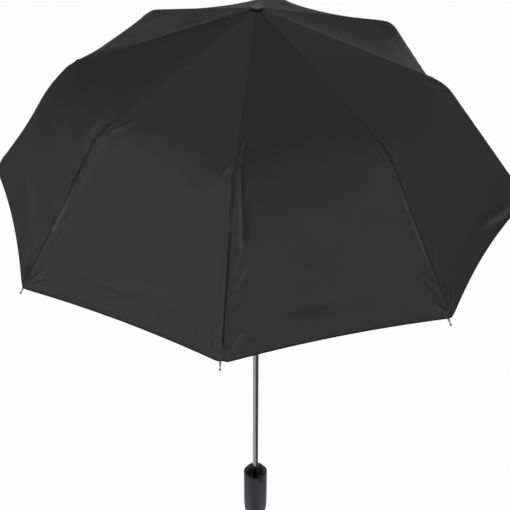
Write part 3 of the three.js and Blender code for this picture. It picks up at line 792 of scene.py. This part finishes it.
ROWS = seam_rows()
ROW_COUNT = len(ROWS)
OUT, UP, WAY_OUT, WAY_UP, ZONE, SHARE = ROWS.T
SAG = CLOTH_SAG * np.select([ZONE == 0, ZONE == 1, ZONE == 2], [0, SHARE, 1], 1 - SHARE * HEM_SAG_LOSS)
SCALLOP = CLOTH_SCALLOP * np.where(ZONE == 3, SHARE**2, 0)
ALONG = np.concatenate([[0], np.cumsum(np.hypot(np.diff(OUT), np.diff(UP)))])
TO_HEM = ALONG[-1] - ALONG
CHORD = 2 * OUT * math.sin(RIB_STEP / 2)
SHOULDER_ROW = int(np.argmin(np.hypot(OUT - SHOULDER_RADIUS, UP - SHOULDER_HEIGHT)))
SHOULDER_ALONG, HEM_ALONG = ALONG[SHOULDER_ROW], ALONG[-1]
AROUND = 2 * (HALF - 1)
SHARES = np.concatenate([COLUMNS, 1 - COLUMNS[::-1][1:-1]])


def wide_seam():
    """The seam's line with its shoulder rounded over a long way, as the cloth runs between two ribs."""
    crown, shoulder, hem = CORNERS
    before = lerp(shoulder, crown, WIDE_BEND / np.linalg.norm(crown - shoulder))
    after = lerp(shoulder, hem, WIDE_BEND / np.linalg.norm(hem - shoulder))
    share = ((ALONG - SHOULDER_ALONG) / WIDE_BEND + 1) / 2
    inside = (share > 0) & (share < 1)
    curve = bent(before, shoulder, after, np.clip(share, 0, 1)[:, None])
    line = np.where(inside[:, None], curve, np.stack([OUT, UP], 1))
    return line, unit(np.gradient(line, axis=0))


def base_cloth():
    """The stretched cloth as a grid of rows by columns round the shaft, before seams and puckers."""
    turns = rib_turn(np.arange(RIBS + 1))
    ways = np.stack([np.cos(turns), np.sin(turns)], 1)
    grid = np.zeros((ROW_COUNT, RIBS * AROUND, 3))
    bow = 4 * SHARES * (1 - SHARES)
    near = CHORD[:, None] * np.minimum(SHARES, 1 - SHARES)
    line, way = wide_seam()
    pull = bell(near, CORNER_REACH) * eased(1 - TO_HEM / CORNER_RISE)[:, None]
    for i in range(RIBS):
        wide = eased(near / WIDE_REACH) * min(1, PANEL_SLACK[i])
        way_out = lerp(WAY_OUT[:, None], way[:, :1], wide)
        way_up = lerp(WAY_UP[:, None], way[:, 1:], wide)
        drop = SAG[:, None] * bow * PANEL_SLACK[i]
        pulled = pull * np.where(SHARES < 0.5, CORNER_PULLS[i], CORNER_PULLS[(i + 1) % RIBS])
        inward = SCALLOP[:, None] * bow * PANEL_HEM_CURVE[i] + pulled
        radius = lerp(OUT[:, None], line[:, :1], wide) + way_up * drop - way_out * inward
        height = lerp(UP[:, None], line[:, 1:], wide) - way_out * drop - way_up * inward
        outward = lerp(ways[i], ways[i + 1], SHARES[:, None])
        grid[:, i * AROUND:(i + 1) * AROUND] = np.dstack((radius * outward[:, 0], radius * outward[:, 1], height))
    return grid


def grid_normals(grid):
    """Unit normals that point out of the cloth's upper side."""
    across = np.roll(grid, -1, 1) - np.roll(grid, 1, 1)
    return unit(np.cross(np.gradient(grid, axis=0), across))


RIB_OF = np.concatenate([np.where(np.arange(AROUND) < HALF, i, (i + 1) % RIBS) for i in range(RIBS)])
SIDE_OF = np.concatenate([np.where(np.arange(AROUND) < HALF, 1, -1) for _ in range(RIBS)])
PANEL_OF = np.repeat(np.arange(RIBS), AROUND)
FROM_RIB = CHORD[:, None] * np.tile(np.minimum(SHARES, 1 - SHARES), RIBS)
FROM_MID = CHORD[:, None] * (np.tile(SHARES, RIBS) - 0.5)
CLOTH_MAP = np.dstack(np.broadcast_arrays(FROM_MID, ALONG[:, None]))


def line_on_cloth(rib, side, start, end):
    """Columns on one side of a rib, the way of each of their places along a line and off it, and its length."""
    columns = (RIB_OF == rib) & (SIDE_OF == side)
    way = np.subtract(end, start)
    length = np.linalg.norm(way)
    x, y = ALONG[:, None] - start[0], FROM_RIB[:, columns] - start[1]
    return columns, (x * way[0] + y * way[1]) / length, (y * way[0] - x * way[1]) / length, length


def crease(lift, rib, side, start, end, width, height):
    """Adds a rounded fold along a line from start to end, each (distance along the seam, distance from the rib)."""
    columns, run, off, length = line_on_cloth(rib, side, start, end)
    share = np.clip(run / length, 0, 1)
    fade = np.sin(math.pi * np.clip(share, 0.04, 0.96)) ** 0.7 * bell(run - share * length, width)
    ridge = bell(off, width) - 0.55 * bell(off - 1.7 * width, width)
    mid = np.clip((CHORD[:, None] / 2 - FROM_RIB[:, columns]) / 0.012, 0, 1)
    lift[:, columns] += height * fade * ridge * mid


def swell(lift, panel, along, across, reach, spread, height, tilt=0.0):
    """Adds a soft rise or hollow to one panel."""
    columns = PANEL_OF == panel
    x, y = ALONG[:, None] - along, FROM_MID[:, columns] - across
    run = x * math.cos(tilt) + y * math.sin(tilt)
    off = y * math.cos(tilt) - x * math.sin(tilt)
    lift[:, columns] += height * bell(run, reach) * bell(off, spread) * eased(FROM_RIB[:, columns] / 0.02)


def pucker(lift, rib, side, along, away, length, angle, width, height):
    """Adds a fold that leaves a rib at an angle, towards the crown where its length is below 0."""
    end = (along + length * math.cos(angle), away + abs(length * math.sin(angle)))
    crease(lift, rib, side, (along, away), end, width, height)


def puckers(lift, draws):
    """Folds that the pull of the ribs leaves: fans at the tips, short ones down the seams and at the shoulders.
    The values of a fold stay in the order in which they are written, because each is the next random draw."""
    draw = draws.uniform
    for rib in range(RIBS):
        for side in (1, -1):
            for _ in range(4):
                pucker(lift, rib, side, angle=draw(0.25, 1.15), length=-draw(0.018, 0.050),
                       along=HEM_ALONG - draw(0.004, 0.010), away=draw(0.002, 0.005),
                       width=draw(0.0018, 0.0032), height=draw(0.0005, 0.0013))
            for _ in range(7):
                pucker(lift, rib, side, along=draw(SHOULDER_ALONG + 0.015, HEM_ALONG - 0.03),
                       length=-draw(0.010, 0.032), angle=draw(0.25, 0.75), away=draw(0.002, 0.005),
                       width=draw(0.0016, 0.0030), height=draw(0.0003, 0.0009))
            for _ in range(3):
                pucker(lift, rib, side, along=SHOULDER_ALONG + draw(-0.045, 0.012), length=draw(0.014, 0.034),
                       angle=draw(0.2, 0.8) * draws.choice([-1, 1]), away=draw(0.003, 0.008),
                       width=draw(0.0020, 0.0034), height=draw(0.0004, 0.0010))
    for panel in range(RIBS):
        for _ in range(7):
            swell(lift, panel, draw(0.08, HEM_ALONG - 0.02), draw(-0.08, 0.08), draw(0.012, 0.035), draw(0.02, 0.05),
                  draw(-0.0011, 0.0011), draw(-0.5, 0.5))
        swell(lift, panel, HEM_ALONG - 0.042, draw(-0.02, 0.02), 0.014, 0.06, -0.0016, draw(-0.1, 0.1))


# Folds that show most from the front, in millimetres: rib, side, start and end as way past the shoulder and distance
# from the rib, then half width and height
SEEN_FOLDS = [
    (0, 1, (-52, 6), (-14, 5), 2.0, 2.0),
    (0, 1, (-16, 4.5), (92, 15), 3.2, 3.4),
    (0, 1, (80, 21), (110, 8), 1.8, 1.7),
    (0, 1, (79, 13), (122, 5), 1.6, 1.5),
    (0, 1, (112, 23), (141, 10), 2.0, 1.8),
    (0, 1, (150, 27), (162, 5), 3.0, 1.4),
    (0, 1, (176, 25), (199, 4), 1.8, -1.6),
    (0, 1, (190, 41), (206, 17), 3.2, -1.2),
    (0, 1, (200, 11), (212, 6), 2.2, 1.6),
    (0, -1, (-6, 4), (60, 3.4), 1.8, -1.0),
    (0, -1, (60, 2.4), (200, 3.0), 1.5, -1.3),
    (7, 1, (-56, 22), (-10, 4), 1.9, -1.6),
    (7, 1, (-40, 21), (2, 6), 3.0, 1.4),
    (7, 1, (4, 7), (84, 8), 4.5, 1.6),
    (7, 1, (92, 3.6), (136, 3.0), 2.4, 1.9),
    (7, 1, (124, 14), (153, 6), 2.0, -1.9),
    (7, 1, (180, 8), (190, 2), 1.8, -1.5),
    (7, 1, (195, 25), (209, 4), 1.8, -1.7),
    (7, -1, (2, 4), (86, 5), 2.0, -1.2),
    (1, 1, (-15, 3), (45, 4), 1.6, -1.2),
    (1, -1, (45, 3), (150, 3), 2.0, 1.3),
    (2, -1, (186, 128), (204, 42), 7.0, 4.2),
]
# Soft rises and hollows that show, in millimetres: panel, way past the shoulder, place across, reach, spread, height
SEEN_SWELLS = [
    (7, 179, -18, 5, 42, -0.9),
    (7, 191, 0, 8, 60, 0.7),
    (7, 121, 8, 4, 9, 0.5),
    (7, 140, 10, 4, 9, 0.5),
    (7, 160, 13, 4, 9, 0.5),
    (0, 172, -28, 8, 30, -2.2),
    (0, 118, -40, 9, 14, 0.9),
    (0, 138, -30, 6, 12, -0.8),
]
# Places where the cloth stands a little off a rib, in millimetres: rib, way past the shoulder, reach, breadth, height
SEAM_RISES = [
    (6, 50, 56, 36, 7.0),
    (7, 0, 26, 24, 1.2),
]
# Painted shade lines where cloth is drawn in beside a seam, in millimetres: rib, side, start and end, distance, half
# width and strength
SEAM_SHADE_LINES = [
    (0, -1, -12, 60, 2.6, 2.0, 0.45),
    (0, -1, 60, 205, 1.6, 1.1, 0.85),
    (0, 1, -20, 34, 10.5, 3.0, 0.30),
    (0, 1, 20, 88, 20.0, 4.5, 0.32),
    (7, -1, 0, 88, 1.2, 1.2, 0.8),
    (7, -1, 130, 205, 0.8, 0.9, 0.6),
    (1, 1, -20, 48, 1.0, 1.0, 0.7),
]
# Crests of folds where the cloth's colour is painted a little lighter, painted highlights, in millimetres: rib, side,
# start and end as in the folds, half width and strength
CREST_HIGHLIGHT_LINES = [
    (0, 1, (-54, 6.5), (-14, 4), 1.5, 0.50),
    (0, 1, (-16, 4.2), (92, 14.6), 2.3, 0.48),
    (0, 1, (78, 17), (120, 5.5), 1.6, 0.34),
    (0, 1, (108, 22), (136, 11), 1.8, 0.40),
    (0, 1, (186, 22), (208, 8), 2.4, 0.34),
    (7, 1, (-56, 24), (-8, 7), 2.0, 0.24),
    (7, 1, (86, 3.4), (138, 3), 2.2, 0.50),
    (7, 1, (118, 17), (150, 9), 2.0, 0.26),
    (1, -1, (44, 3), (150, 3), 1.6, 0.42),
    (2, -1, (190, 124), (208, 44), 8.0, 0.46),
]


CREST_FADE, LINE_FADE = 0.12, 15


def past_shoulder(place):
    """Distance along the seam and from the rib, in metres, of a place in millimetres past the shoulder."""
    return SHOULDER_ALONG + place[0] / 1000, place[1] / 1000


def crest_highlights():
    """Share by which the cloth's colour is painted lighter on the crests, a painted highlight."""
    tones = np.ones(FROM_RIB.shape)
    for rib, side, start, end, width, strength in CREST_HIGHLIGHT_LINES:
        columns, run, off, length = line_on_cloth(rib, side, past_shoulder(start), past_shoulder(end))
        share = run / length
        fade = eased(share / CREST_FADE) * eased((1 - share) / CREST_FADE)
        tones[:, columns] += strength * fade * bell(off, width / 1000)
    return tones


def seen_folds(lift):
    """The folds beside the front rib and beside the ribs left and right of it."""
    for rib, side, start, end, width, height in SEEN_FOLDS:
        crease(lift, rib, side, past_shoulder(start), past_shoulder(end), width / 1000, height / 1000)
    for panel, along, *rest in SEEN_SWELLS:
        swell(lift, panel, *(np.array([SHOULDER_ALONG * 1000 + along, *rest]) / 1000))


def seam_shade_lines():
    """Mask of the painted shade lines beside the seams."""
    mask = np.zeros(FROM_RIB.shape)
    way = (ALONG - SHOULDER_ALONG)[:, None] * 1000
    for rib, side, start, end, away, width, strength in SEAM_SHADE_LINES:
        columns = (RIB_OF == rib) & (SIDE_OF == side)
        fade = eased((way - start) / LINE_FADE) * eased((end - way) / LINE_FADE)
        line = strength * fade * bell(FROM_RIB[:, columns] * 1000 - away, width)
        mask[:, columns] = np.maximum(mask[:, columns], line)
    return mask


PUCKER_SEED = 11
# Widths of the groove of a seam and of the rise beside it, place and width of the stitches of the hem, and widths
# over which its edge is rounded and has painted shade
GROOVE_WIDTH, RIDGE_WIDTH = 0.0012, 0.0034
STITCH_PLACE, STITCH_WIDTH = 0.0070, 0.0006
EDGE_WIDTH, EDGE_PAINTED_SHADE_WIDTH = 0.0009, 0.0020
# Width and reach up the cloth of the tuck at a corner
TUCK_WIDTH, TUCK_REACH = 0.008, 0.012

LIFT = np.zeros(FROM_RIB.shape)
puckers(LIFT, np.random.default_rng(PUCKER_SEED))
seen_folds(LIFT)
for rib, along, reach, away, height in SEAM_RISES:
    beside = np.where(RIB_OF == rib, bell(FROM_RIB * 1000, away), 0)
    LIFT += height / 1000 * bell((ALONG - SHOULDER_ALONG) * 1000 - along, reach)[:, None] * beside
LIFT *= np.clip((ALONG - 0.03) / 0.04, 0, 1)[:, None] * np.clip(TO_HEM / 0.004, 0.25, 1)[:, None]
SEAM_GROOVE = bell(FROM_RIB, GROOVE_WIDTH) * np.clip(ALONG / 0.03, 0, 1)[:, None]
SEAM_RIDGE = bell(FROM_RIB, RIDGE_WIDTH) * np.clip(ALONG / 0.05, 0, 1)[:, None]
# Depth of the seam's groove, and strength of the painted shade in it, above and below the shoulder
SEAM_CUT, SEAM_PAINTED_SHADE = (np.where(ZONE < 2, *pair)[:, None] for pair in ((0.0002, 0.00045), (0.16, 0.45)))
STITCH, EDGE_ROUND, EDGE_PAINTED_SHADE = (bell(TO_HEM - place, width)[:, None] for place, width in (
    (STITCH_PLACE, STITCH_WIDTH), (0, EDGE_WIDTH), (0, EDGE_PAINTED_SHADE_WIDTH)))
LIFT += 0.00035 * SEAM_RIDGE - SEAM_CUT * SEAM_GROOVE - 0.00012 * STITCH - 0.0003 * EDGE_ROUND
LIFT -= 0.0012 * bell(FROM_RIB, TUCK_WIDTH) * bell(TO_HEM, TUCK_REACH)[:, None]
# Painted shade: the cloth's colour is darkened in the seam grooves, at the hem's stitches, along its edge and in the
# lines beside seams
PAINTED_SHADE_MASK = np.clip(SEAM_PAINTED_SHADE * SEAM_GROOVE + 0.15 * STITCH + 0.95 * EDGE_PAINTED_SHADE + seam_shade_lines(), 0, 1)
# Painted highlights on the crests of folds
CREST_HIGHLIGHTS = crest_highlights()
BASE = base_cloth()
BASE_NORMALS = grid_normals(BASE)
OUTER = BASE + BASE_NORMALS * LIFT[:, :, None]
NORMALS = grid_normals(OUTER)
INNER = OUTER - BASE_NORMALS * np.where(TO_HEM < HEM_BAND, HEM_THICKNESS, CLOTH_THICKNESS)[:, None, None]


def cloth_piece(name, rows, columns, panels, flip=False, whole_turn=False):
    """Closed thin piece of the cloth: outer and inner skin and the walls between them, with the whole cloth's
    normals, so that neighbouring pieces look like one sheet."""
    pick_grid = np.ix_(rows, columns)
    points = np.concatenate([OUTER[pick_grid].reshape(-1, 3), INNER[pick_grid].reshape(-1, 3)])
    size = len(rows) * len(columns)
    at = np.arange(size).reshape(len(rows), -1)
    nexts = np.roll(at, -1, 1) if whole_turn else at[:, 1:]
    firsts = at if whole_turn else at[:, :-1]
    a, b = firsts[:-1].ravel(), firsts[1:].ravel()
    c, d = nexts[1:].ravel(), nexts[:-1].ravel()
    upper = np.stack([a, b, c, d], 1)
    lower = np.stack([a, d, c, b], 1) + size

    def wall(edge):
        return np.stack([edge[:-1], edge[:-1] + size, edge[1:] + size, edge[1:]], 1)

    if whole_turn:
        loops = [np.append(at[0], at[0, 0])[::-1], np.append(at[-1], at[-1, 0])]
    else:
        loops = [at[0][::-1], at[-1], at[:, 0], at[:, -1][::-1]]
    faces = np.concatenate([upper, lower, *(wall(edge) for edge in loops)])
    if flip:
        faces = faces[:, ::-1]
    mesh = bpy.data.meshes.new(name)
    mesh.from_pydata(points.tolist(), [], faces.tolist())
    piece = bpy.data.objects.new(name, mesh)
    bpy.context.scene.collection.objects.link(piece)
    corners = faces.ravel()
    map_points = points[:size, :2] if whole_turn else CLOTH_MAP[pick_grid].reshape(-1, 2)
    mesh.uv_layers.new(name="cloth").data.foreach_set("uv", map_points[corners % size].astype(np.float32).ravel())
    # Painted light and shade: each panel's colour is scaled lighter or darker, changing along the panel, and fold
    # crests are painted lighter
    painted_grade = 1 + PANEL_PAINTED_GRADES[panels] * (0.5 - ALONG[:, None] / HEM_ALONG)
    panel_painted_light = PANEL_PAINTED_LIGHT[panels] * painted_grade * CREST_HIGHLIGHTS
    # The crease attribute carries the painted shade
    for label, values in (("crease", PAINTED_SHADE_MASK[pick_grid]), ("tone", panel_painted_light[pick_grid])):
        layer = mesh.attributes.new(label, "FLOAT", "POINT")
        layer.data.foreach_set("value", np.tile(values.ravel(), 2).astype(np.float32))
    normals = NORMALS[pick_grid].reshape(-1, 3)[corners % size].reshape(-1, 4, 3)
    skin_faces = len(upper)
    normals[skin_faces:2 * skin_faces] *= -1
    wall_points = points[faces[2 * skin_faces:]]
    wall_ways = np.cross(wall_points[:, 1] - wall_points[:, 0], wall_points[:, 2] - wall_points[:, 0])
    normals[2 * skin_faces:] = unit(wall_ways)[:, None]
    mesh.polygons.foreach_set("use_smooth", np.ones(len(faces), bool))
    mesh.normals_split_custom_set(normals.reshape(-1, 3).tolist())
    mesh.update()
    area = np.cross(points[upper[:, 2]] - points[upper[:, 0]], points[upper[:, 3]] - points[upper[:, 1]])
    return piece, float(np.linalg.norm(area, axis=1).sum() / 2)


def row_at(distance_out):
    """Row of the seam nearest to a distance out from the shaft."""
    return int(np.argmin(np.abs(OUT - distance_out)))


CROWN_ROW, UPPER_ROW, MIDDLE_ROW, KNEE_ROW = (row_at(way_out) for way_out in ROW_CUTS)
LOWER_ROW, HEM_ROW = (int(np.argmin(np.abs(ALONG - SHOULDER_ALONG - way))) for way in LOWER_CUTS)
# Zones along a rib: name, first and last row, body, how far out the pleats stand when folded, and whether the
# cloth then lies on the inner side
ZONES = [
    ("crown", CROWN_ROW, UPPER_ROW, "top_rib", 0.024, 1),
    ("upper", UPPER_ROW, MIDDLE_ROW, "top_rib", 0.030, 1),
    ("middle", MIDDLE_ROW, KNEE_ROW, "top_rib", 0.036, 1),
    ("knee", KNEE_ROW, SHOULDER_ROW, "link", 0.030, -1),
    ("shoulder", SHOULDER_ROW, LOWER_ROW, "outer_rib", 0.044, 1),
    ("lower", LOWER_ROW, HEM_ROW, "outer_rib", 0.042, 1),
    ("hem", HEM_ROW, ROW_COUNT - 1, "outer_rib", 0.040, 1),
]
# Least share of its width that a folded piece keeps, step by which its reach is cut until it does, and distance of
# the cloth from the circle of the pivots
LEAST_KEEP, REACH_STEP, RIB_TO_CLOTH = 0.03, 0.0005, 0.006


def fold(piece, rib, side, first, last, reach, inner_side):
    """Works out how a half panel would gather against its rib as the umbrella folds, with its free edge at the middle
    between two ribs at the given reach from the shaft, cutting the reach until enough of its width is kept; then
    gives the piece a mesh of its own. The piece is not folded and the result is not used."""
    turn = rib_turn(rib)
    outward = np.array((math.cos(turn), math.sin(turn), 0))
    aside = np.array((-math.sin(turn), math.cos(turn), 0)) * side
    row = (first + last) // 2
    way = unit(ROWS[last, :2] - ROWS[first, :2])
    above = outward * -way[1] + (0, 0, way[0])
    rib_column = rib * AROUND
    mid_column = (rib_column + (HALF - 1) * side) % (RIBS * AROUND)
    seam_point = BASE[row, rib_column]
    wing = BASE[row, mid_column] - seam_point
    wing_above, wing_aside = wing @ above, wing @ aside
    seam_radius = PIVOT_CIRCLE + RIB_TO_CLOTH * inner_side
    while True:
        pull_above = wing_above - (reach * math.cos(RIB_STEP / 2) - seam_radius) * inner_side
        pull_aside = wing_aside - reach * math.sin(RIB_STEP / 2)
        pull = pull_above**2 + pull_aside**2
        keep = 1 - pull / (wing_above * pull_above + wing_aside * pull_aside)
        if keep >= LEAST_KEEP:
            break
        reach -= REACH_STEP
    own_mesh(piece)


def make_canopy():
    crown, area = cloth_piece("canopy_crown", range(CROWN_ROW + 1), range(RIBS * AROUND), PANEL_OF, whole_turn=True)
    dressed(crown, "canopy_cloth", "upper_tube", "canopy_cloth", "canopy")
    for rib in range(RIBS):
        for side, side_name in ((1, "right"), (-1, "left")):
            columns = [(rib * AROUND + side * step) % (RIBS * AROUND) for step in range(HALF)]
            panels = np.full(RIBS * AROUND, rib if side > 0 else (rib - 1) % RIBS)
            for zone, first, last, part, reach, inner_side in ZONES:
                name, body = f"canopy_{zone}_{rib}_{side_name}", f"{part}_{rib}"
                piece, area = cloth_piece(name, range(first, last + 1), columns, panels, flip=side < 0)
                dressed(piece, "canopy_cloth", body, "canopy_cloth", "canopy")
                fold(piece, rib, side, first, last, reach, inner_side)


make_canopy()

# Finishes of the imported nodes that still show
SLOTS = {cad_name: material["slot"] for material in frame["record"].get("materials", [])
         for cad_name in material.get("nodes", [])}
for cad_name, cad_piece in frame["nodes"].items():
    for place in cad_piece.material_slots:
        place.material = FINISHES[SLOTS.get(cad_name, "bright_steel")]

let_go()
